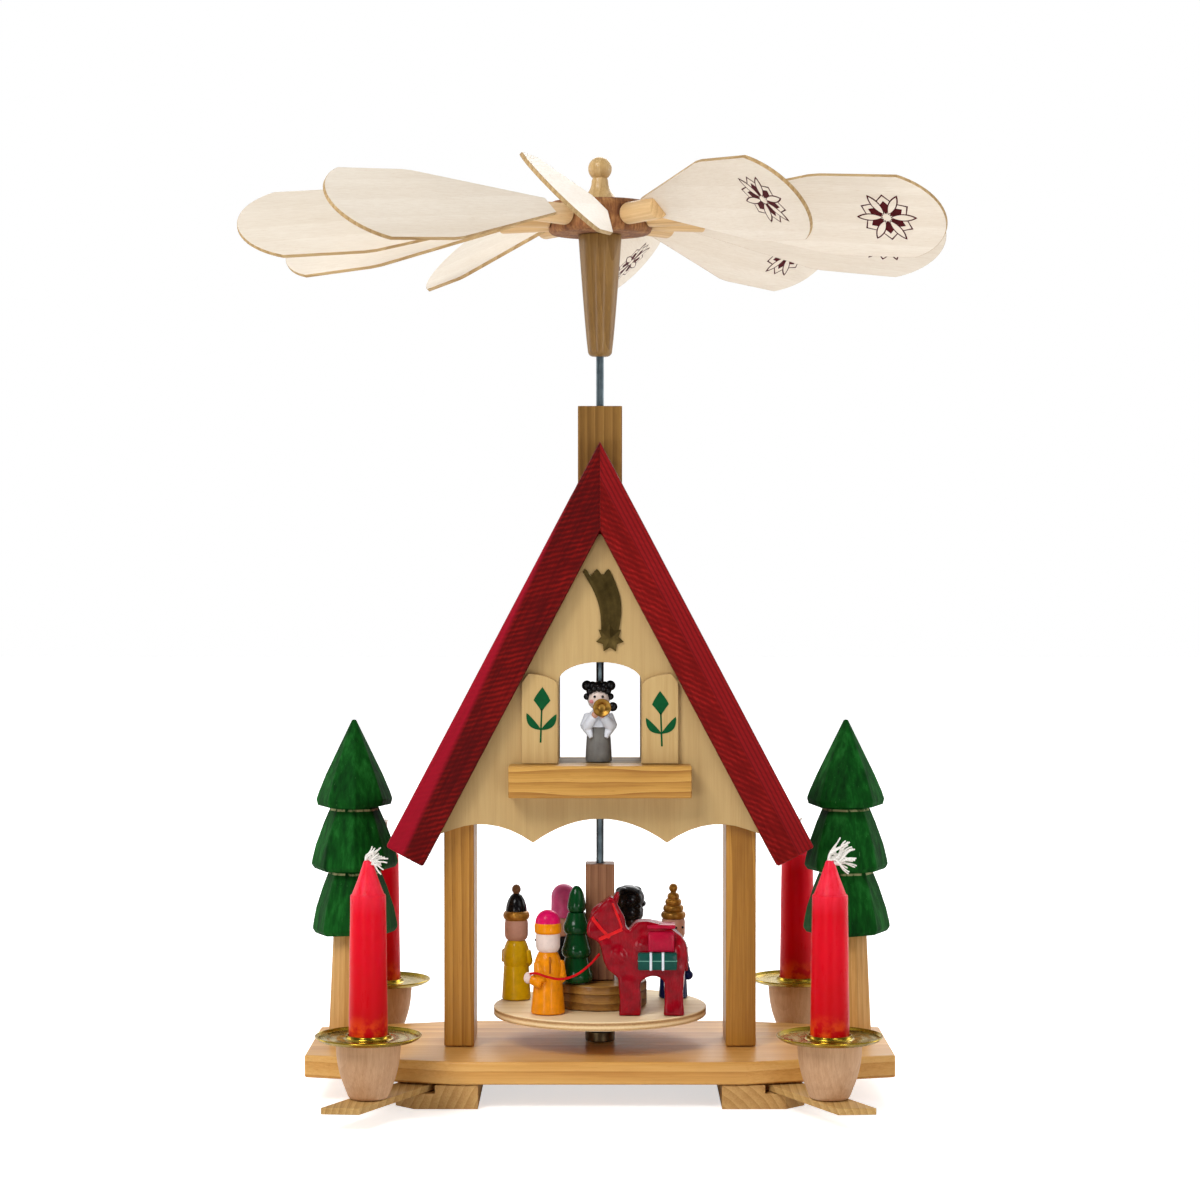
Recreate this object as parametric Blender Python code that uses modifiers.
"""Candle carousel: a wooden house with candles on swinging arms and a bladed rotor over a turning disc.

Metres, +Z up, origin on the floor under the spindle. The front of the house faces -Y.
"""

import math

import bmesh
import bpy
from mathutils import Vector

# Fits shared by all pieces
GAP = 0.0003
BORE_CLEARANCE = 0.0005
MERGE = 0.00001
CUT_MARGIN = 0.002

# Foot rails, base plate and bearing
RAIL_INNER_X = 0.0436
RAIL_WIDTH = 0.030
RAIL_HALF_LENGTH = 0.043
RAIL_HEIGHT = 0.0086
RAIL_CORNER = 0.007
PLATE_TREE_MARGIN = 0.0038
PLATE_HALF_DEPTH = 0.044
PLATE_FRONT_HALF = 0.052
PLATE_SIDE_HALF = 0.030
PLATE_THICKNESS = 0.0082
BEARING_RADIUS = 0.0055
BEARING_HEIGHT = 0.0036
BEARING_DIMPLE_RADIUS = 0.0028
BEARING_DIMPLE_DEPTH = 0.0028

# Candle arms, cups, trays and candles
ARM_PIVOT_INSET = 0.0169
ARM_PIVOT_END = 0.018
ARM_SPLAY = math.radians(22)
ARM_WIDTH = 0.0125
ARM_THICKNESS = 0.0024
ARM_LENGTH = 0.0636
ARM_SET = {
    "front_left": math.radians(5),
    "front_right": math.radians(4),
    "back_left": math.radians(12),
    "back_right": math.radians(1),
}
ARM_SWING_OUT = math.radians(35)
ARM_SWING_IN = math.radians(4)
ARM_SWING_SPARE = math.radians(1)
PIN_RADIUS = 0.002
PIN_ROOT = 0.002
CUP_REACH = 0.045
CUP_HEIGHT = 0.0200
CUP_FOOT_RADIUS = 0.0068
CUP_TOP_RADIUS = 0.0114
CUP_BELLY = 0.0012
CUP_STEPS = 4
CUP_SOCKET_DEPTH = 0.010
TRAY_RADIUS = 0.0186
TRAY_SHEET = 0.0006
TRAY_RIM = 0.0008
TRAY_COLLAR = 0.0014
CANDLE_RADIUS = 0.0070
CANDLE_SHOULDER_RADIUS = 0.00625
CANDLE_TIP_RADIUS = 0.0018
CANDLE_BODY = 0.0610
CANDLE_CONE = 0.0119
WICK_RADIUS = 0.0009
WICK_LENGTH = 0.0048

# House
POST_X = 0.0518
POST_WIDTH = 0.011
ROOF_APEX_Z = 0.2395
ROOF_SLOPE = math.radians(62.15)
ROOF_LENGTH = 0.1672
ROOF_THICKNESS = 0.0153
ROOF_HALF_DEPTH = 0.023
GABLE_FACE_Y = 0.017
GABLE_THICKNESS = 0.003
GABLE_DROP = 0.1438
GABLE_CUSP_X = 0.0245
GABLE_CUSP_DROP = 0.0030
GABLE_SIDE_ARCH = 0.0052
GABLE_CENTRE_ARCH = 0.0088
ARCH_STEPS = 8
LOFT_RISE = 0.0259
LOFT_THICKNESS = 0.006
WINDOW_HALF = 0.0151
WINDOW_SIDE_HEIGHT = 0.0304
WINDOW_RISE = 0.0069
CHIMNEY_SIDE = 0.0163
CHIMNEY_SUNK = 0.0495
CHIMNEY_RISE = 0.0134
BALCONY_LENGTH = 0.0665
BALCONY_HEIGHT = 0.0117
BALCONY_DEPTH = 0.010
SHUTTER_WIDTH = 0.0132
SHUTTER_HEIGHT = 0.033
SHUTTER_DROP = 0.0045
SHUTTER_THICKNESS = 0.002

# Comet star of thin sheet on the gable
STAR_X = 0.0036
STAR_OVER_WINDOW = 0.0086
STAR_POINTS = 7
STAR_OUTER = 0.0046
STAR_INNER = 0.0030
STAR_SHEET = 0.0008
TAIL_ROOT_HALF = 0.0021
TAIL_END_X = -0.0012
TAIL_LENGTH = 0.0230
TAIL_END_HALF = 0.0043
TAIL_BOW = 0.0022

# Carved trees at both ends of the plate
TREE_EAVE_OFFSET = 0.0149
TREE_Y = 0.018
TREE_SIDES = 8
TREE_ROOT_RADIUS = 0.0102
TREE_TRUNK_RADIUS = 0.0083
TREE_TRUNK_HEIGHT = 0.0379
TREE_TIER_RADII = (0.0159, 0.0157, 0.0142)
TREE_NECK_RADII = (0.0125, 0.0095)
TREE_TIER_HEIGHT = 0.0240
TREE_TIP_HEIGHT = 0.0324
TREE_UNDERCUT = 0.0012

# Turning spindle, disc and rotor
ROD_RADIUS = 0.0014
ROD_POINT = 0.004
DISC_RADIUS = 0.0395
DISC_THICKNESS = 0.0033
DISC_BOSS_RADIUS = 0.0148
DISC_BOSS_HEIGHT = 0.0040
DISC_CLEARANCE = 0.0023
PLINTH_RADIUS = 0.0174
PLINTH_HEIGHT = 0.0092
CAROUSEL_POST_SIDE = 0.0107
CAROUSEL_POST_HEIGHT = 0.0431
SLEEVE_OVER_CHIMNEY = 0.0186
SLEEVE_HEIGHT = 0.0449
SLEEVE_FOOT_RADIUS = 0.0045
SLEEVE_TOP_RADIUS = 0.0080
SLEEVE_ROUND = 0.0020
HUB_RADIUS = 0.019
HUB_HEIGHT = 0.0118
HUB_CHAMFER = 0.0010
HUB_CAP = 0.0025
FINIAL_BASE_RADIUS = 0.0065
FINIAL_NECK_RADIUS = 0.0031
FINIAL_NECK_HEIGHT = 0.0078
FINIAL_BALL_RADIUS = 0.0044
FINIAL_STEPS = 4

# Vanes
VANE_COUNT = 10
VANE_FIRST_ANGLE = math.radians(266)
VANE_PITCH = math.radians(-45)
VANE_TENON_RADIUS = 0.0025
VANE_TENON_LENGTH = 0.0075
VANE_STEM_RADIUS = 0.004
VANE_STEM_LENGTH = 0.021
VANE_FLAT_HEIGHT = 0.0016
VANE_DROOP = math.radians(6)
VANE_PADDLE_INSET = 0.011
VANE_PADDLE_ROOT_HALF = 0.0040
VANE_FLARE_LENGTH = 0.060
VANE_PADDLE_HALF = 0.0182
VANE_STRAIGHT_LENGTH = 0.026
VANE_TIP_LENGTH = 0.018
VANE_THICKNESS = 0.0014
VANE_TIP_STEPS = 5

# Figures on the disc and in the window
FIGURE_STEPS = 12
ROBE_HEIGHT = 0.0219
ROBE_RADIUS = 0.0054
DRIVER_ROBE_RADIUS = 0.0061
HEAD_RADIUS = 0.0044
HEAD_HEIGHT = 0.0074
HEAD_EDGE = 0.00074
HAT_RADIUS = 0.0050
NECK_RADIUS = 0.0034
OLIVE_KING_AT = (-0.0315, 0.0120)
DRIVER_AT = (-0.0190, -0.0200)
PINK_CAP_AT = (-0.0150, 0.0240)
TURBAN_AT = (0.0110, 0.0220)
GOLD_KING_AT = (0.0277, 0.0160)
DRIVER_HAND = (-0.0072, -0.0034, 0.0132)
DRIVER_ELBOW = (-0.0010, -0.0048, 0.0118)
HAND_RADIUS = 0.0022
SLEEVE_ARM_RADIUS = 0.0019
WRIST_RADIUS = 0.00114
SMALL_TREE_AT = (-0.0086, -0.0104)
SMALL_TREE_RADIUS = 0.0049
SMALL_TREE_HEIGHT = 0.0350
ANGEL_AT = (-0.0005, -0.0070)
ANGEL_SKIRT_RADIUS = 0.0046
ANGEL_SHOULDER_RADIUS = 0.00345
ANGEL_BODY_HEIGHT = 0.0205
ANGEL_HEAD_RADIUS = 0.0040
ANGEL_HAIR_RADIUS = 0.0050
TRUMPET_LENGTH = 0.0046
TRUMPET_BELL_RADIUS = 0.0029
TRUMPET_TUBE_RADIUS = 0.0010
CAMEL_Y = -0.022
CAMEL_THICKNESS = 0.009
CAMEL_PACK = (0.0145, 0.0155, 0.0064)
CAMEL_PACK_CENTRE = (0.0207, 0.0200)
CAMEL_SADDLE = (0.0102, 0.0120, 0.0085)
CAMEL_SADDLE_CENTRE = (0.0222, 0.0270)
CAMEL_NOSE_X = -0.005
CAMEL_LENGTH = 0.0372
CAMEL_HEIGHT = 0.0431
ROPE_RADIUS = 0.00045
ROPE_POINTS = 16

# Steps of the turned pieces
ROD_STEPS = 12
SMALL_STEPS = 16
ROUND_STEPS = 20
PLINTH_STEPS = 24
TRAY_STEPS = 28
DISC_STEPS = 40

# Profiles as shares of their own size: a robe of its radius and height, hats of the hat radius
ROBE_SHAPE = ((0.9, 0.82), (0.93, 0.68), (0.88, 0.56), (1.0, 0.0))
DOMED_HAT = ((0, 2.6), (0.38, 2.22), (0.23, 1.84), (0.56, 1.5), (0.8, 0.9), (1.0, 0.6), (1.0, 0.2))
BANDED_CAP = ((0, 1.7), (0.34, 1.63), (0.64, 1.44), (0.83, 1.14), (0.9, 0.8), (1.0, 0.7), (1.0, 0.1))
TALL_CAP = ((0, 2.4), (0.38, 2.31), (0.71, 2.05), (0.92, 1.66), (1.0, 1.2), (0.92, 0.74), (0.71, 0.35))
TURBAN = ((0, 2.0), (0.44, 1.92), (0.81, 1.68), (1.06, 1.32), (1.15, 0.9), (1.06, 0.48), (0.81, 0.12))
WOUND_HAT = (
    (0, 2.7), (0.36, 2.34), (0.38, 1.93), (0.44, 1.68), (0.61, 1.33), (0.72, 1.08), (0.85, 0.73), (1.0, 0.48),
)

# One tier of the small tree as shares of its radius and rise, and each tier's share of the full radius
SMALL_TREE_TIER = ((0.62, 0.85), (1.0, 0.3), (0.85, 0.0))
SMALL_TREE_TAPER = (0.55, 0.70, 0.85, 1.0)

# Side view of the camel as shares of its length and height, from the head round under the belly
CAMEL_SHAPE = (
    (0.290, 0.974), (0.237, 1.000), (0.054, 0.835), (0.000, 0.733), (0.046, 0.640),
    (0.126, 0.601), (0.164, 0.492), (0.218, 0.383), (0.344, 0.304), (0.317, 0.000),
    (0.535, 0.000), (0.535, 0.274), (0.608, 0.327), (0.780, 0.258), (0.780, 0.000),
    (0.952, 0.000), (0.952, 0.336), (1.000, 0.459), (0.941, 0.664), (0.852, 0.726),
    (0.616, 0.789), (0.497, 0.796), (0.398, 0.694), (0.371, 0.726),
)

# Heights that follow from the stack of pieces
PLATE_BOTTOM = RAIL_HEIGHT + GAP
PLATE_TOP = PLATE_BOTTOM + PLATE_THICKNESS
ON_PLATE = PLATE_TOP + GAP
ARM_TOP = RAIL_HEIGHT - GAP
ARM_BOTTOM = ARM_TOP - ARM_THICKNESS
POCKET_FLOOR = ARM_BOTTOM - GAP
CUP_BOTTOM = ARM_TOP + GAP
CUP_TOP = CUP_BOTTOM + CUP_HEIGHT
SOCKET_FLOOR = CUP_TOP - CUP_SOCKET_DEPTH
TRAY_BOTTOM = CUP_TOP + GAP
SOCKET_RADIUS = CANDLE_RADIUS + GAP
BEARING_TOP = ON_PLATE + BEARING_HEIGHT
ROD_BOTTOM = BEARING_TOP - BEARING_DIMPLE_DEPTH + GAP
DISC_BOTTOM = BEARING_TOP + DISC_CLEARANCE
DISC_TOP = DISC_BOTTOM + DISC_BOSS_HEIGHT + DISC_THICKNESS
ON_DISC = DISC_TOP + GAP
PLINTH_TOP = ON_DISC + PLINTH_HEIGHT
ON_PLINTH = PLINTH_TOP + GAP
BORE_RADIUS = ROD_RADIUS + BORE_CLEARANCE
GABLE_EAVE_Z = ROOF_APEX_Z - GABLE_DROP
GABLE_CUSP_Z = GABLE_EAVE_Z - GABLE_CUSP_DROP
LOFT_TOP_Z = GABLE_EAVE_Z + LOFT_RISE
WINDOW_SPRING_Z = LOFT_TOP_Z + WINDOW_SIDE_HEIGHT
CHIMNEY_BOTTOM_Z = ROOF_APEX_Z - CHIMNEY_SUNK
CHIMNEY_TOP_Z = ROOF_APEX_Z + CHIMNEY_RISE
SLEEVE_BOTTOM_Z = CHIMNEY_TOP_Z + SLEEVE_OVER_CHIMNEY
SLEEVE_TOP = SLEEVE_BOTTOM_Z + SLEEVE_HEIGHT
HUB_BOTTOM = SLEEVE_TOP + GAP
HUB_TOP = HUB_BOTTOM + HUB_HEIGHT
VANE_Z = HUB_BOTTOM + HUB_HEIGHT / 2
ROD_TOP = HUB_TOP - HUB_CAP - GAP
ROOF_TAN = math.tan(ROOF_SLOPE)
EAVE_X = ROOF_LENGTH * math.cos(ROOF_SLOPE)
TREE_X = EAVE_X + TREE_EAVE_OFFSET
PLATE_HALF_WIDTH = TREE_X + TREE_ROOT_RADIUS + PLATE_TREE_MARGIN
ARM_PIVOT_X = RAIL_INNER_X + ARM_PIVOT_INSET
ARM_PIVOT_Y = RAIL_HALF_LENGTH - ARM_PIVOT_END
ROOF_INNER_APEX = ROOF_APEX_Z - ROOF_THICKNESS / math.cos(ROOF_SLOPE)
GABLE_INNER_Y = GABLE_FACE_Y - GABLE_THICKNESS
POST_INNER_X = POST_X - POST_WIDTH / 2
ON_LOFT = LOFT_TOP_Z + GAP
STAR_Z = WINDOW_SPRING_Z + WINDOW_RISE + STAR_OVER_WINDOW
TAIL_END_Z = STAR_Z + TAIL_LENGTH
VANE_STEM_END = HUB_RADIUS + VANE_STEM_LENGTH
VANE_PADDLE_START = HUB_RADIUS + VANE_PADDLE_INSET

for old in list(bpy.data.objects):
    bpy.data.objects.remove(old, do_unlink=True)

parts = bpy.data.collections.new("candle_carousel")
cutters = bpy.data.collections.new("cutters")
bpy.context.scene.collection.children.link(parts)
bpy.context.scene.collection.children.link(cutters)


def finish_of(name, colour, roughness, metallic=0.0):
    """A Principled material with one colour, roughness and metallic value."""
    material = bpy.data.materials.new(name)
    material.use_nodes = True
    shader = material.node_tree.nodes["Principled BSDF"]
    shader.inputs["Base Color"].default_value = (*colour, 1.0)
    shader.inputs["Roughness"].default_value = roughness
    shader.inputs["Metallic"].default_value = metallic
    return material


PINE = finish_of("varnished_pine", (0.60, 0.36, 0.12), 0.35)
POST_PINE = finish_of("post_pine", (0.45, 0.24, 0.06), 0.45)
BIRCH = finish_of("birch_ply", (0.58, 0.42, 0.22), 0.55)
VANE_BIRCH = finish_of("vane_birch", (0.86, 0.76, 0.62), 0.50)
BEECH = finish_of("turned_beech", (0.58, 0.38, 0.27), 0.50)
SLEEVE_BEECH = finish_of("sleeve_beech", (0.38, 0.21, 0.08), 0.45)
HUB_WOOD = finish_of("hub_wood", (0.26, 0.11, 0.04), 0.75)
RED_ROOF = finish_of("red_stain", (0.30, 0.005, 0.008), 0.55)
BRASS = finish_of("brass", (0.75, 0.55, 0.18), 0.25, 1.0)
STEEL = finish_of("steel", (0.30, 0.34, 0.38), 0.30, 1.0)
RED_WAX = finish_of("red_wax", (0.75, 0.01, 0.02), 0.35)
GREEN_STAIN = finish_of("green_stain", (0.01, 0.12, 0.03), 0.35)
GOLD_SHEET = finish_of("gold_sheet", (0.33, 0.26, 0.09), 0.35, 0.8)
OLIVE = finish_of("olive_paint", (0.38, 0.30, 0.02), 0.35)
ORANGE = finish_of("orange_paint", (0.85, 0.35, 0.02), 0.35)
PINK = finish_of("pink_paint", (0.55, 0.08, 0.20), 0.35)
BLACK = finish_of("black_paint", (0.01, 0.01, 0.012), 0.30)
GOLD = finish_of("gold_paint", (0.45, 0.22, 0.04), 0.35, 0.6)
CRIMSON = finish_of("crimson_paint", (0.40, 0.01, 0.03), 0.35)
WHITE = finish_of("white_paint", (0.75, 0.74, 0.72), 0.40)
ROPE_RED = finish_of("rope_red", (0.65, 0.01, 0.02), 0.60)


def place(obj, material, location=(0, 0, 0), parent=None, turn=0.0):
    """Put an object in the parts collection with its finish, turned about Z, on its parent's frame."""
    parts.objects.link(obj)
    obj.data.materials.append(material)
    obj.location = location
    obj.rotation_euler.z = turn
    obj.parent = parent
    return obj


def pivot(name, location, turn=0.0, tilt=0.0, parent=None):
    """An empty on a joint axis, turned about Z and then tilted about its own X."""
    empty = bpy.data.objects.new(name, None)
    parts.objects.link(empty)
    empty.location = location
    empty.rotation_euler = (tilt, 0.0, turn)
    empty.parent = parent
    return empty


def as_tool(obj, location=(0, 0, 0), parent=None, turn=0.0):
    """Keep an object as a guide for cutting or joining, out of the model itself."""
    cutters.objects.link(obj)
    obj.location = location
    obj.rotation_euler.z = turn
    obj.parent = parent
    obj.hide_render = True
    obj.display_type = "WIRE"
    return obj


def apply_tool(obj, tool, operation):
    """Cut or join an object with a guide."""
    change = obj.modifiers.new(operation.title(), "BOOLEAN")
    change.operation = operation
    change.solver = "EXACT"
    change.object = tool
    return obj


def smooth(obj, angle=math.radians(35)):
    """Shade round faces smooth and keep sharp edges."""
    obj.data.shade_smooth()
    obj.data.set_sharp_from_angle(angle=angle)
    return obj


def turned(name, profile, steps, bored=False):
    """A turned shape: the profile of (radius, height) runs down its outer side; a bored one is a ring."""
    mesh = bpy.data.meshes.new(name)
    count = len(profile)
    edges = [(i, i + 1) for i in range(count - 1)]
    if bored:
        edges.append((count - 1, 0))
    mesh.from_pydata([(radius, 0.0, height) for radius, height in profile], edges, [])
    obj = bpy.data.objects.new(name, mesh)
    screw = obj.modifiers.new("Turning", "SCREW")
    screw.steps = steps
    screw.render_steps = steps
    screw.use_merge_vertices = True
    screw.merge_threshold = MERGE
    return obj


def sheet(name, outline, thickness, holes=(), upright=False):
    """A flat piece cut from sheet, as a mesh with its mid-plane on the object's XY (or XZ) plane."""
    curve = bpy.data.curves.new(name + "_outline", "CURVE")
    curve.dimensions = "2D"
    curve.fill_mode = "BOTH"
    curve.extrude = thickness / 2
    for loop in (outline, *holes):
        spline = curve.splines.new("POLY")
        spline.points.add(len(loop) - 1)
        spline.use_cyclic_u = True
        for point, (x, y) in zip(spline.points, loop):
            point.co = (x, y, 0.0, 1.0)
    drawn = bpy.data.objects.new(name + "_outline", curve)
    bpy.context.scene.collection.objects.link(drawn)
    if upright:
        drawn.rotation_euler.x = math.pi / 2
    bpy.context.view_layer.update()
    mesh = bpy.data.meshes.new_from_object(drawn.evaluated_get(bpy.context.evaluated_depsgraph_get()))
    mesh.transform(drawn.matrix_world)
    bpy.data.objects.remove(drawn)
    shape = bmesh.new()
    shape.from_mesh(mesh)
    bmesh.ops.remove_doubles(shape, verts=shape.verts, dist=MERGE)
    bmesh.ops.recalc_face_normals(shape, faces=shape.faces)
    shape.to_mesh(mesh)
    shape.free()
    mesh.name = name
    return bpy.data.objects.new(name, mesh)


def block(name, size, centre=(0, 0, 0)):
    """A box of the given size about a centre in the object's own frame."""
    mesh = bpy.data.meshes.new(name)
    shape = bmesh.new()
    bmesh.ops.create_cube(shape, size=1.0)
    bmesh.ops.scale(shape, verts=shape.verts, vec=size)
    bmesh.ops.translate(shape, verts=shape.verts, vec=centre)
    shape.to_mesh(mesh)
    shape.free()
    return bpy.data.objects.new(name, mesh)


def rod_between(name, start, end, start_radius, end_radius, sides=10):
    """A round bar or cone from one point to another."""
    start, end = Vector(start), Vector(end)
    mesh = bpy.data.meshes.new(name)
    shape = bmesh.new()
    bmesh.ops.create_cone(
        shape, cap_ends=True, segments=sides,
        radius1=start_radius, radius2=end_radius, depth=(end - start).length,
    )
    aim = (end - start).to_track_quat("Z", "Y").to_matrix()
    bmesh.ops.rotate(shape, verts=shape.verts, cent=(0, 0, 0), matrix=aim)
    bmesh.ops.translate(shape, verts=shape.verts, vec=(start + end) / 2)
    shape.to_mesh(mesh)
    shape.free()
    return bpy.data.objects.new(name, mesh)


def ball(name, centre, radius, sides=10):
    """A sphere about a centre."""
    mesh = bpy.data.meshes.new(name)
    shape = bmesh.new()
    bmesh.ops.create_uvsphere(shape, u_segments=sides, v_segments=sides - 4, radius=radius)
    bmesh.ops.translate(shape, verts=shape.verts, vec=centre)
    shape.to_mesh(mesh)
    shape.free()
    return bpy.data.objects.new(name, mesh)


def arc(centre, radii, start, end, steps):
    """Points on an elliptical arc, both ends included."""
    turns = [start + (end - start) * i / steps for i in range(steps + 1)]
    return [(centre[0] + radii[0] * math.cos(t), centre[1] + radii[1] * math.sin(t)) for t in turns]


def circle(radius, steps):
    """Points round a circle about the origin."""
    return arc((0, 0), (radius, radius), 0.0, 2 * math.pi, steps)[:-1]


def bored_for_rod(obj, bottom, top, radius=BORE_RADIUS):
    """Cut the spindle's hole up the middle of a piece."""
    tool = rod_between(obj.name + "_bore", (0, 0, bottom), (0, 0, top), radius, radius, sides=ROD_STEPS)
    return apply_tool(obj, as_tool(tool), "DIFFERENCE")


def roof_inner_z(x):
    """Height of the roof boards' underside over a place across the house."""
    return ROOF_INNER_APEX - ROOF_TAN * abs(x)


def roof_inner_x(z):
    """Half the width of the space under the roof boards at a height."""
    return (ROOF_INNER_APEX - z) / ROOF_TAN


# Base plate on two foot rails
def arm_turn(side, end):
    """Angle about Z that points an arm's own +Y along its rest direction at one corner."""
    return math.atan2(-side * math.sin(ARM_SPLAY), end * math.cos(ARM_SPLAY))


def pocket_outline(outward):
    """The fan that an arm sweeps about its pin, in the arm's own frame, with both stops."""
    half = ARM_WIDTH / 2 + GAP
    far = 2 * RAIL_HALF_LENGTH
    out_angle = ARM_SWING_OUT + ARM_SWING_SPARE
    in_angle = -ARM_SWING_IN - ARM_SWING_SPARE

    def along(angle):
        return Vector((outward * math.sin(angle), math.cos(angle)))

    def across(angle):
        return Vector((outward * math.cos(angle), -math.sin(angle)))

    out_foot = across(out_angle) * half
    in_foot = across(in_angle) * -half
    sweep = out_angle - math.pi - in_angle
    back = [across(in_angle + sweep * i / ARCH_STEPS) * -half for i in range(1, ARCH_STEPS)]
    loop = [in_foot, *back, out_foot, out_foot + along(out_angle) * far, in_foot + along(in_angle) * far]
    return [tuple(point) for point in loop]


def build_rail(name, side):
    inner = side * RAIL_INNER_X
    outer = side * (RAIL_INNER_X + RAIL_WIDTH)
    shoulder = outer - side * RAIL_CORNER
    length = RAIL_HALF_LENGTH
    outline = [
        (inner, -length),
        (shoulder, -length),
        (outer, RAIL_CORNER - length),
        (outer, length - RAIL_CORNER),
        (shoulder, length),
        (inner, length),
    ]
    rail = place(sheet(name, outline, RAIL_HEIGHT), PINE, (0, 0, RAIL_HEIGHT / 2))
    pocket_depth = RAIL_HEIGHT - POCKET_FLOOR + CUT_MARGIN
    for end in (-1, 1):
        at = (side * ARM_PIVOT_X, end * ARM_PIVOT_Y)
        fan = sheet(f"{name}_pocket", pocket_outline(side * end), pocket_depth)
        as_tool(fan, (*at, POCKET_FLOOR + pocket_depth / 2), turn=arm_turn(side, end))
        apply_tool(rail, fan, "DIFFERENCE")
        root = (*at, POCKET_FLOOR - PIN_ROOT)
        pin = rod_between(f"{name}_pin", root, (*at, ARM_TOP), PIN_RADIUS, PIN_RADIUS)
        apply_tool(rail, as_tool(pin), "UNION")
    return rail


def build_base():
    build_rail("foot_rail_left", -1)
    build_rail("foot_rail_right", 1)
    quarter = [(PLATE_HALF_WIDTH, PLATE_SIDE_HALF), (PLATE_FRONT_HALF, PLATE_HALF_DEPTH)]
    outline = quarter + [(-x, y) for x, y in reversed(quarter)]
    outline += [(-x, -y) for x, y in quarter] + [(x, -y) for x, y in reversed(quarter)]
    place(sheet("base_plate", outline, PLATE_THICKNESS), PINE, (0, 0, PLATE_BOTTOM + PLATE_THICKNESS / 2))
    cup = [
        (0.0, BEARING_TOP - BEARING_DIMPLE_DEPTH),
        (BEARING_DIMPLE_RADIUS, BEARING_TOP),
        (BEARING_RADIUS - GAP, BEARING_TOP),
        (BEARING_RADIUS, BEARING_TOP - GAP),
        (BEARING_RADIUS, ON_PLATE),
        (0.0, ON_PLATE),
    ]
    smooth(place(turned("bearing_cup", cup, ROUND_STEPS), BRASS))


# House: posts, gables, loft floor, roof, chimney and trim
def build_posts():
    half = GABLE_INNER_Y - GAP
    inner = POST_INNER_X
    outer = POST_X + POST_WIDTH / 2
    lift = GAP / math.cos(ROOF_SLOPE)
    for name, side in (("post_left", -1), ("post_right", 1)):
        outline = [
            (side * inner, ON_PLATE),
            (side * outer, ON_PLATE),
            (side * outer, roof_inner_z(outer) - lift),
            (side * inner, roof_inner_z(inner) - lift),
        ]
        place(sheet(name, outline, 2 * half, upright=True), POST_PINE)


def gable_outline():
    """Half the gable is drawn from the centre arch to the peak, and the other half mirrors it."""
    lift = GAP / math.cos(ROOF_SLOPE)
    eave_x = roof_inner_x(GABLE_EAVE_Z) - lift
    peak = ROOF_INNER_APEX - 2 * lift
    half = []
    for i in range(1, ARCH_STEPS + 1):
        share = i / ARCH_STEPS
        half.append((GABLE_CUSP_X * share, GABLE_CUSP_Z + GABLE_CENTRE_ARCH * (1 - share * share)))
    for i in range(1, ARCH_STEPS + 1):
        share = i / ARCH_STEPS
        foot = GABLE_CUSP_Z + (GABLE_EAVE_Z - GABLE_CUSP_Z) * share
        x = GABLE_CUSP_X + (eave_x - GABLE_CUSP_X) * share
        half.append((x, foot + 4 * GABLE_SIDE_ARCH * share * (1 - share)))
    mirrored = [(-x, z) for x, z in reversed(half)]
    return [(0.0, GABLE_CUSP_Z + GABLE_CENTRE_ARCH), *half, (0.0, peak), *mirrored]


def window_outline():
    sill = [(-WINDOW_HALF, LOFT_TOP_Z), (WINDOW_HALF, LOFT_TOP_Z)]
    return sill + arc((0.0, WINDOW_SPRING_Z), (WINDOW_HALF, WINDOW_RISE), 0.0, math.pi, 2 * ARCH_STEPS)


def build_gables():
    middle = GABLE_FACE_Y - GABLE_THICKNESS / 2
    for name, y in (("gable_front", -middle), ("gable_back", middle)):
        gable = sheet(name, gable_outline(), GABLE_THICKNESS, holes=[window_outline()], upright=True)
        place(gable, BIRCH, (0, y, 0))


def build_loft():
    half = min(POST_INNER_X, roof_inner_x(LOFT_TOP_Z)) - GAP
    size = (2 * half, 2 * (GABLE_INNER_Y - GAP), LOFT_THICKNESS)
    floor = place(block("loft_floor", size, (0, 0, LOFT_TOP_Z - LOFT_THICKNESS / 2)), BIRCH)
    bored_for_rod(floor, LOFT_TOP_Z - LOFT_THICKNESS - CUT_MARGIN, LOFT_TOP_Z + CUT_MARGIN)


def build_roof():
    down = Vector((math.cos(ROOF_SLOPE), -math.sin(ROOF_SLOPE)))
    inward = Vector((-math.sin(ROOF_SLOPE), -math.cos(ROOF_SLOPE)))
    apex = Vector((0.0, ROOF_APEX_Z))
    eave_outer = apex + down * ROOF_LENGTH
    eave_inner = eave_outer + inward * ROOF_THICKNESS
    notch_side = CHIMNEY_SIDE + 2 * GAP
    notch_height = ROOF_APEX_Z - CHIMNEY_BOTTOM_Z + 2 * CUT_MARGIN
    notch = block("chimney_notch", (notch_side, notch_side, notch_height))
    as_tool(notch, (0, 0, CHIMNEY_BOTTOM_Z - CUT_MARGIN + notch_height / 2))
    for name, side in (("roof_board_left", -1), ("roof_board_right", 1)):
        mitre = GAP / 2
        corners = [
            (mitre, ROOF_APEX_Z - ROOF_TAN * mitre),
            (mitre, roof_inner_z(mitre)),
            tuple(eave_inner),
            tuple(eave_outer),
        ]
        outline = [(side * x, z) for x, z in corners]
        board = place(sheet(name, outline, 2 * ROOF_HALF_DEPTH, upright=True), RED_ROOF)
        apply_tool(board, notch, "DIFFERENCE")


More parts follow.
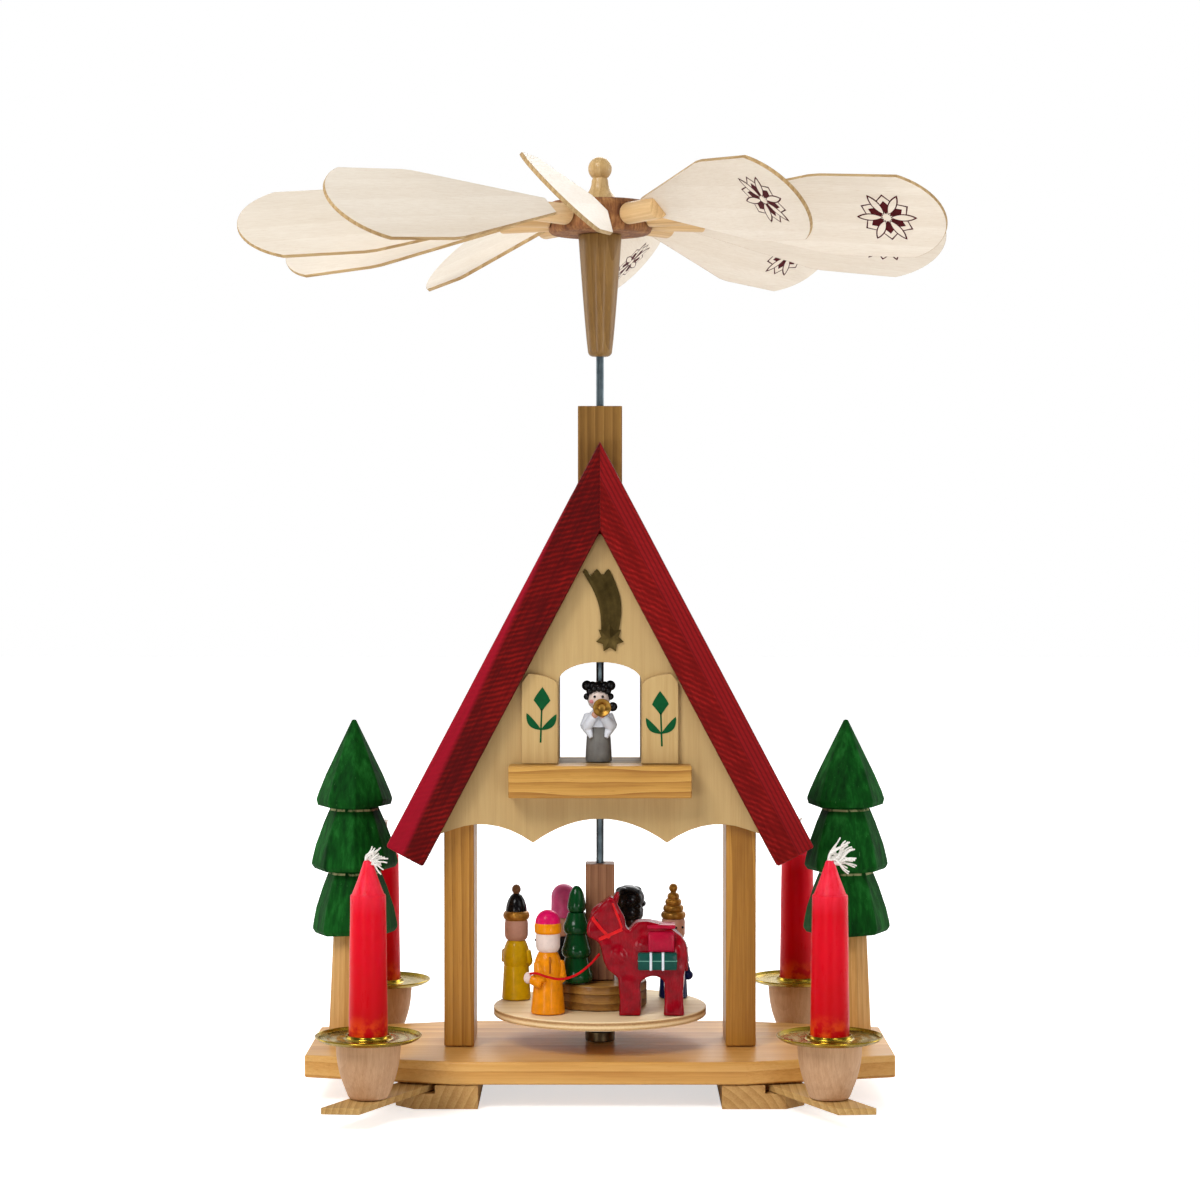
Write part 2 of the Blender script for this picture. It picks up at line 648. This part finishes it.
def build_chimney():
    height = CHIMNEY_TOP_Z - CHIMNEY_BOTTOM_Z
    size = (CHIMNEY_SIDE, CHIMNEY_SIDE, height)
    chimney = place(block("chimney_block", size, (0, 0, CHIMNEY_BOTTOM_Z + height / 2)), POST_PINE)
    bored_for_rod(chimney, CHIMNEY_BOTTOM_Z - CUT_MARGIN, CHIMNEY_TOP_Z + CUT_MARGIN)


def shutter_outline(side):
    """A shutter with a half-arched head, high on its outer side and trimmed under the roof board."""
    inner = WINDOW_HALF + GAP
    outer = inner + SHUTTER_WIDTH
    foot = ON_LOFT
    head = foot + SHUTTER_HEIGHT
    lift = GAP / math.cos(ROOF_SLOPE) + GAP
    top = arc((outer, head - SHUTTER_DROP), (SHUTTER_WIDTH, SHUTTER_DROP), math.pi, math.pi / 2, ARCH_STEPS)
    limited = [(x, min(z, roof_inner_z(x) - lift)) for x, z in top]
    return [(side * x, z) for x, z in [(outer, foot), (inner, foot), *limited]]


def comet_outline():
    """A pointed star with a bowed tail that widens upwards, in the gable's plane."""
    points = []
    step = math.pi / STAR_POINTS
    for i in range(1, 2 * STAR_POINTS):
        angle = math.pi / 2 + i * step
        radius = STAR_INNER if i % 2 else STAR_OUTER
        points.append((STAR_X + radius * math.cos(angle), STAR_Z + radius * math.sin(angle)))

    def tail(share, side):
        half = TAIL_ROOT_HALF + (TAIL_END_HALF - TAIL_ROOT_HALF) * share
        middle = STAR_X + (TAIL_END_X - STAR_X) * share + TAIL_BOW * math.sin(math.pi * share)
        root = STAR_Z + STAR_INNER
        return (middle + side * half, root + (TAIL_END_Z - root) * share)

    shares = [i / ARCH_STEPS for i in range(1, ARCH_STEPS + 1)]
    right = [tail(share, 1) for share in shares]
    left = [tail(share, -1) for share in reversed(shares)]
    return points + right + left


def build_trim():
    front = -GABLE_FACE_Y - GAP
    size = (BALCONY_LENGTH, BALCONY_DEPTH, BALCONY_HEIGHT)
    centre = (0, front - BALCONY_DEPTH / 2, LOFT_TOP_Z - BALCONY_HEIGHT / 2)
    place(block("balcony_bar", size, centre), PINE)
    for name, side in (("shutter_left", -1), ("shutter_right", 1)):
        shutter = sheet(name, shutter_outline(side), SHUTTER_THICKNESS, upright=True)
        place(shutter, BIRCH, (0, front - SHUTTER_THICKNESS / 2, 0))
    star = sheet("comet_star", comet_outline(), STAR_SHEET, upright=True)
    place(star, GOLD_SHEET, (0, front - STAR_SHEET / 2, 0))


def build_tree(name, side):
    """A carved tree: three faceted tiers on a flared trunk."""
    crown = ON_PLATE + TREE_TRUNK_HEIGHT
    tiers = len(TREE_TIER_RADII)
    profile = [(0.0, crown + (tiers - 1) * TREE_TIER_HEIGHT + TREE_TIP_HEIGHT)]
    for i in reversed(range(tiers)):
        height = crown + i * TREE_TIER_HEIGHT
        neck = TREE_NECK_RADII[i - 1] if i else TREE_TRUNK_RADIUS
        profile += [(TREE_TIER_RADII[i], height), (neck, height - TREE_UNDERCUT if i else height)]
    profile += [(TREE_ROOT_RADIUS, ON_PLATE), (0.0, ON_PLATE)]
    at = (side * TREE_X, TREE_Y, 0)
    place(turned(name, profile, TREE_SIDES), GREEN_STAIN, at, turn=math.pi / TREE_SIDES)


def build_angel():
    """A turned figure on the loft floor that lifts a trumpet with both arms."""
    body = ANGEL_BODY_HEIGHT
    head = body + ANGEL_HEAD_RADIUS * math.cos(math.pi / 4)
    hair = head + ANGEL_HAIR_RADIUS / 4
    shoulder = ANGEL_SHOULDER_RADIUS
    profile = arc((0, hair), (ANGEL_HAIR_RADIUS, ANGEL_HAIR_RADIUS), math.pi / 2, 0.0, 4)
    profile += arc((0, head), (ANGEL_HEAD_RADIUS, ANGEL_HEAD_RADIUS), 0.0, -math.pi / 4, 2)
    profile += [
        (shoulder, body - ANGEL_HEAD_RADIUS / 2),
        (shoulder, body / 2),
        (ANGEL_SKIRT_RADIUS, 0.0),
        (0.0, 0.0),
    ]
    profile[0] = (0.0, profile[0][1])
    at = (*ANGEL_AT, ON_LOFT)
    angel = place(turned("angel", profile, FIGURE_STEPS), WHITE, at)
    mouth = (0.0, -ANGEL_HEAD_RADIUS / 2, head - ANGEL_HEAD_RADIUS / 2)
    bell = (0.0, -ANGEL_HEAD_RADIUS - TRUMPET_LENGTH / 2, mouth[2])
    horn = rod_between("trumpet_horn", mouth, bell, TRUMPET_TUBE_RADIUS, TRUMPET_BELL_RADIUS)
    apply_tool(angel, as_tool(horn, at), "UNION")
    for side in (-1, 1):
        elbow = (side * shoulder, -shoulder / 2, body / 2)
        hand = (side * TRUMPET_TUBE_RADIUS, -ANGEL_HEAD_RADIUS, mouth[2] - TRUMPET_TUBE_RADIUS)
        arm = rod_between("angel_arm", elbow, hand, SLEEVE_ARM_RADIUS, WRIST_RADIUS)
        apply_tool(angel, as_tool(arm, at), "UNION")
    return angel


# Candle arms with cup, tray and candle, one at each corner
def build_candle_arm(corner, side, end):
    turn = arm_turn(side, end)
    stand = turn - side * end * ARM_SET[corner]
    hinge = pivot(f"arm_pivot_{corner}", (side * ARM_PIVOT_X, end * ARM_PIVOT_Y, 0), stand)
    half = ARM_WIDTH / 2
    slope = math.tan(turn)
    heel = arc((0, 0), (half, half), math.pi, 2 * math.pi, ARCH_STEPS)
    outline = heel + [(half, ARM_LENGTH - half * slope), (-half, ARM_LENGTH + half * slope)]
    arm = sheet(f"candle_arm_{corner}", outline, ARM_THICKNESS, holes=[circle(PIN_RADIUS + GAP, ROD_STEPS)])
    place(arm, PINE, (0, 0, ARM_BOTTOM + ARM_THICKNESS / 2), hinge)

    seat = (0, CUP_REACH, 0)
    cup = [(0.0, SOCKET_FLOOR), (SOCKET_RADIUS, SOCKET_FLOOR), (SOCKET_RADIUS, CUP_TOP)]
    for share in (i / CUP_STEPS for i in range(CUP_STEPS + 1)):
        radius = CUP_TOP_RADIUS + (CUP_FOOT_RADIUS - CUP_TOP_RADIUS) * share
        cup.append((radius + CUP_BELLY * math.sin(math.pi * share), CUP_TOP - CUP_HEIGHT * share))
    cup.append((0.0, CUP_BOTTOM))
    smooth(place(turned(f"candle_cup_{corner}", cup, ROUND_STEPS), BEECH, seat, hinge))

    floor = TRAY_BOTTOM + TRAY_SHEET
    dish = [
        (TRAY_RADIUS, floor + TRAY_RIM),
        (TRAY_RADIUS - TRAY_RIM, TRAY_BOTTOM),
        (SOCKET_RADIUS, TRAY_BOTTOM),
        (SOCKET_RADIUS, floor + TRAY_COLLAR),
        (SOCKET_RADIUS + TRAY_SHEET, floor + TRAY_COLLAR),
        (SOCKET_RADIUS + 2 * TRAY_SHEET, floor),
        (TRAY_RADIUS - TRAY_RIM - TRAY_SHEET, floor),
        (TRAY_RADIUS - TRAY_SHEET, floor + TRAY_RIM),
    ]
    smooth(place(turned(f"drip_tray_{corner}", dish, TRAY_STEPS, bored=True), BRASS, seat, hinge))

    foot = SOCKET_FLOOR + GAP
    shoulder = foot + CANDLE_BODY
    tip = shoulder + CANDLE_CONE
    candle = [
        (0.0, tip + WICK_LENGTH),
        (WICK_RADIUS, tip + WICK_LENGTH),
        (WICK_RADIUS, tip),
        (CANDLE_TIP_RADIUS, tip),
        (CANDLE_SHOULDER_RADIUS, shoulder),
        (CANDLE_RADIUS, foot),
        (0.0, foot),
    ]
    smooth(place(turned(f"candle_{corner}", candle, SMALL_STEPS), RED_WAX, seat, hinge))


# Spindle, disc and rotor hub, which turn together
def build_spindle(axis):
    rod = [
        (0.0, ROD_TOP),
        (ROD_RADIUS, ROD_TOP),
        (ROD_RADIUS, ROD_BOTTOM + ROD_POINT),
        (0.0, ROD_BOTTOM),
    ]
    smooth(place(turned("spindle_rod", rod, ROD_STEPS), STEEL, parent=axis))
    hole = ROD_RADIUS + GAP
    step = DISC_BOTTOM + DISC_BOSS_HEIGHT
    disc = [
        (DISC_RADIUS, DISC_TOP),
        (DISC_RADIUS, step),
        (DISC_BOSS_RADIUS, step),
        (DISC_BOSS_RADIUS, DISC_BOTTOM),
        (hole, DISC_BOTTOM),
        (hole, DISC_TOP),
    ]
    smooth(place(turned("carousel_disc", disc, DISC_STEPS, bored=True), BIRCH, parent=axis))
    plinth = [(PLINTH_RADIUS, PLINTH_TOP), (PLINTH_RADIUS, ON_DISC), (hole, ON_DISC), (hole, PLINTH_TOP)]
    smooth(place(turned("plinth", plinth, PLINTH_STEPS, bored=True), PINE, parent=axis))
    size = (CAROUSEL_POST_SIDE, CAROUSEL_POST_SIDE, CAROUSEL_POST_HEIGHT)
    post = block("carousel_post", size, (0, 0, ON_PLINTH + CAROUSEL_POST_HEIGHT / 2))
    place(post, POST_PINE, parent=axis)
    bored_for_rod(post, ON_PLINTH - CUT_MARGIN, ON_PLINTH + CAROUSEL_POST_HEIGHT + CUT_MARGIN, hole)
    sleeve = [
        (SLEEVE_TOP_RADIUS, SLEEVE_TOP),
        (SLEEVE_FOOT_RADIUS, SLEEVE_BOTTOM_Z + SLEEVE_ROUND),
        (SLEEVE_FOOT_RADIUS - SLEEVE_ROUND / 3, SLEEVE_BOTTOM_Z + SLEEVE_ROUND / 3),
        (SLEEVE_FOOT_RADIUS - SLEEVE_ROUND, SLEEVE_BOTTOM_Z),
        (hole, SLEEVE_BOTTOM_Z),
        (hole, SLEEVE_TOP),
    ]
    smooth(place(turned("hub_sleeve", sleeve, ROUND_STEPS, bored=True), SLEEVE_BEECH, parent=axis))


def build_hub(axis):
    """The rotor hub with one socket for each vane, and the finial on it."""
    hole = ROD_RADIUS + GAP
    cap = HUB_TOP - HUB_CAP
    profile = [
        (0.0, HUB_TOP),
        (HUB_RADIUS - HUB_CHAMFER, HUB_TOP),
        (HUB_RADIUS, HUB_TOP - HUB_CHAMFER),
        (HUB_RADIUS, HUB_BOTTOM + HUB_CHAMFER),
        (HUB_RADIUS - HUB_CHAMFER, HUB_BOTTOM),
        (hole, HUB_BOTTOM),
        (hole, cap),
        (0.0, cap),
    ]
    hub = smooth(place(turned("rotor_hub", profile, 3 * VANE_COUNT), HUB_WOOD, parent=axis))
    socket = VANE_TENON_RADIUS + GAP
    depth = VANE_TENON_LENGTH + GAP
    for i in range(VANE_COUNT):
        angle = VANE_FIRST_ANGLE + i * 2 * math.pi / VANE_COUNT
        outward = Vector((math.cos(angle), math.sin(angle), 0.0))
        start = outward * (HUB_RADIUS - depth) + Vector((0, 0, VANE_Z))
        end = outward * (HUB_RADIUS + CUT_MARGIN) + Vector((0, 0, VANE_Z))
        tool = rod_between(f"vane_socket_{i + 1:02d}", start, end, socket, socket)
        apply_tool(hub, as_tool(tool, parent=axis), "DIFFERENCE")
    foot = HUB_TOP + GAP
    ball_centre = foot + FINIAL_NECK_HEIGHT + FINIAL_BALL_RADIUS
    finial = arc((0, ball_centre), (FINIAL_BALL_RADIUS, FINIAL_BALL_RADIUS), math.pi / 2, -math.pi / 4, 6)
    finial[0] = (0.0, finial[0][1])
    neck = FINIAL_BASE_RADIUS - FINIAL_NECK_RADIUS
    finial += [
        (FINIAL_NECK_RADIUS + neck * share**2, foot + FINIAL_NECK_HEIGHT * (1 - share))
        for share in (i / FINIAL_STEPS for i in range(1, FINIAL_STEPS + 1))
    ]
    finial.append((0.0, foot))
    smooth(place(turned("finial", finial, SMALL_STEPS), VANE_BIRCH, parent=axis))


def paddle_outline():
    """A vane's paddle from its root: it flares to its shoulder and ends in a rounded tip."""
    tip_start = VANE_FLARE_LENGTH + VANE_STRAIGHT_LENGTH
    tip_radii = (VANE_TIP_LENGTH, VANE_PADDLE_HALF)
    tip = arc((tip_start, 0.0), tip_radii, math.pi / 2, 0.0, VANE_TIP_STEPS)
    upper = [(0.0, VANE_PADDLE_ROOT_HALF), (VANE_FLARE_LENGTH, VANE_PADDLE_HALF), *tip]
    return upper + [(x, -y) for x, y in reversed(upper[:-1])]


def build_vane(number, axis):
    angle = VANE_FIRST_ANGLE + (number - 1) * 2 * math.pi / VANE_COUNT
    hinge = pivot(f"vane_pivot_{number:02d}", (0, 0, VANE_Z), angle, VANE_PITCH, axis)
    name = f"vane_{number:02d}"
    shoulder = HUB_RADIUS + GAP
    start = (HUB_RADIUS - VANE_TENON_LENGTH, 0, 0)
    end = (VANE_STEM_END, 0, 0)
    stem = rod_between(name, (shoulder, 0, 0), end, VANE_STEM_RADIUS, VANE_STEM_RADIUS, ROD_STEPS)
    place(stem, VANE_BIRCH, parent=hinge)
    tenon_end = (shoulder + VANE_TENON_LENGTH / 2, 0, 0)
    tenon = rod_between(f"{name}_tenon", start, tenon_end, VANE_TENON_RADIUS, VANE_TENON_RADIUS)
    apply_tool(stem, as_tool(tenon, parent=hinge), "UNION")
    flat_length = VANE_STEM_END - VANE_PADDLE_START + 2 * CUT_MARGIN
    flat_size = (flat_length, 4 * VANE_STEM_RADIUS, 2 * VANE_STEM_RADIUS)
    flat = block(f"{name}_flat", flat_size, (flat_length / 2 - CUT_MARGIN, 0, VANE_STEM_RADIUS))
    paddle = sheet(f"{name}_paddle", paddle_outline(), VANE_THICKNESS)
    root = (VANE_PADDLE_START, 0, VANE_FLAT_HEIGHT + VANE_THICKNESS / 2)
    for tool, operation in ((flat, "DIFFERENCE"), (paddle, "UNION")):
        as_tool(tool, root, hinge)
        tool.rotation_euler.y = VANE_DROOP
        apply_tool(stem, tool, operation)
    return stem


# Figures, camel, small tree and lead rope on the disc
def build_figure(name, at, hat, material, axis, robe=ROBE_RADIUS):
    """A turned figure: robe with a drawn-in waist, drum-shaped head and a hat profile on top."""
    neck = ROBE_HEIGHT
    face_top = neck + HEAD_HEIGHT
    profile = [(HAT_RADIUS * across, face_top + HAT_RADIUS * up) for across, up in hat]
    profile += [(HEAD_RADIUS, face_top - HEAD_EDGE), (HEAD_RADIUS, neck + 2 * HEAD_EDGE), (NECK_RADIUS, neck)]
    profile += [(robe * across, ROBE_HEIGHT * up) for across, up in ROBE_SHAPE]
    profile.append((0.0, 0.0))
    return smooth(place(turned(name, profile, FIGURE_STEPS), material, (*at, ON_DISC), axis))


def build_driver(axis):
    """The camel driver reaches a forearm across the robe to the hand that holds the rope."""
    driver = build_figure("figure_camel_driver", DRIVER_AT, BANDED_CAP, ORANGE, axis, DRIVER_ROBE_RADIUS)
    at = (*DRIVER_AT, ON_DISC)
    arm = rod_between("driver_forearm", DRIVER_ELBOW, DRIVER_HAND, SLEEVE_ARM_RADIUS, SLEEVE_ARM_RADIUS)
    apply_tool(driver, as_tool(arm, at, axis), "UNION")
    hand = ball("driver_hand", DRIVER_HAND, HAND_RADIUS)
    apply_tool(driver, as_tool(hand, at, axis), "UNION")


def build_camel(axis):
    """A carved camel with a saddle block over its back and a pack on each flank."""
    at = (0.0, CAMEL_Y, ON_DISC)
    outline = [(CAMEL_NOSE_X + CAMEL_LENGTH * along, CAMEL_HEIGHT * up) for along, up in CAMEL_SHAPE]
    camel = place(sheet("camel", outline, CAMEL_THICKNESS, upright=True), CRIMSON, at, axis)
    loads = (
        ("camel_pack", CAMEL_PACK, CAMEL_PACK_CENTRE),
        ("camel_saddle", CAMEL_SADDLE, CAMEL_SADDLE_CENTRE),
    )
    for name, size, (x, z) in loads:
        load = block(name, size, (x, 0.0, z))
        apply_tool(camel, as_tool(load, at, axis), "UNION")


def build_small_tree(axis):
    """A turned tree of rounded tiers on the plinth."""
    rise = SMALL_TREE_HEIGHT / len(SMALL_TREE_TAPER)
    profile = [(0.0, SMALL_TREE_HEIGHT)]
    for i, taper in enumerate(SMALL_TREE_TAPER):
        foot = SMALL_TREE_HEIGHT - (i + 1) * rise
        profile += [(SMALL_TREE_RADIUS * taper * across, foot + rise * up) for across, up in SMALL_TREE_TIER]
    profile.append((0.0, 0.0))
    smooth(place(turned("small_tree", profile, FIGURE_STEPS), GREEN_STAIN, (*SMALL_TREE_AT, ON_PLINTH), axis))


def smooth_route(route, count):
    """Points along a smooth curve through the route's own points, evenly shared among its spans."""
    ends = [2 * route[0] - route[1], *route, 2 * route[-1] - route[-2]]
    spans = len(route) - 1
    points = []
    for i in range(count):
        place_on = i * spans / (count - 1)
        span = min(int(place_on), spans - 1)
        t = place_on - span
        a, b, c, d = ends[span : span + 4]
        bend = (2 * a - 5 * b + 4 * c - d) * t * t + (3 * b - a - 3 * c + d) * t**3
        points.append((2 * b + (c - a) * t + bend) / 2)
    return points


def build_rope(axis):
    """The lead rope hangs slack from the driver's hand to the camel's throat, in front of the robe."""
    route = [
        Vector((-0.0253, -0.0248, 0.0459)),
        Vector((-0.0228, -0.0273, 0.0463)),
        Vector((-0.0190, -0.0284, 0.0452)),
        Vector((-0.0140, -0.0282, 0.0444)),
        Vector((-0.0085, -0.0268, 0.0458)),
        Vector((-0.0035, -0.0246, 0.0493)),
        Vector((-0.0002, -0.0225, 0.0527)),
    ]
    curve = bpy.data.curves.new("lead_rope", "CURVE")
    curve.dimensions = "3D"
    curve.bevel_depth = ROPE_RADIUS
    curve.bevel_resolution = 2
    curve.use_fill_caps = True
    spline = curve.splines.new("POLY")
    points = smooth_route(route, ROPE_POINTS)
    spline.points.add(len(points) - 1)
    for knot, point in zip(spline.points, points):
        knot.co = (*point, 1.0)
    place(bpy.data.objects.new("lead_rope", curve), ROPE_RED, parent=axis)
    length = sum((b - a).length for a, b in zip(points, points[1:]))
    print(f"lead rope length {length:.4f} m")


build_base()
build_posts()
build_gables()
build_loft()
build_roof()
build_chimney()
build_trim()
build_tree("tree_left", -1)
build_tree("tree_right", 1)
build_angel()
for corner, side, end in (
    ("front_left", -1, -1),
    ("front_right", 1, -1),
    ("back_left", -1, 1),
    ("back_right", 1, 1),
):
    build_candle_arm(corner, side, end)
carousel_axis = pivot("carousel_axis", (0, 0, 0))
build_spindle(carousel_axis)
build_hub(carousel_axis)
for number in range(1, VANE_COUNT + 1):
    build_vane(number, carousel_axis)
build_figure("figure_olive_king", OLIVE_KING_AT, DOMED_HAT, OLIVE, carousel_axis)
build_figure("figure_pink_cap", PINK_CAP_AT, TALL_CAP, PINK, carousel_axis)
build_figure("figure_black_turban", TURBAN_AT, TURBAN, BLACK, carousel_axis)
build_figure("figure_gold_king", GOLD_KING_AT, WOUND_HAT, GOLD, carousel_axis)
build_driver(carousel_axis)
build_camel(carousel_axis)
build_small_tree(carousel_axis)
build_rope(carousel_axis)
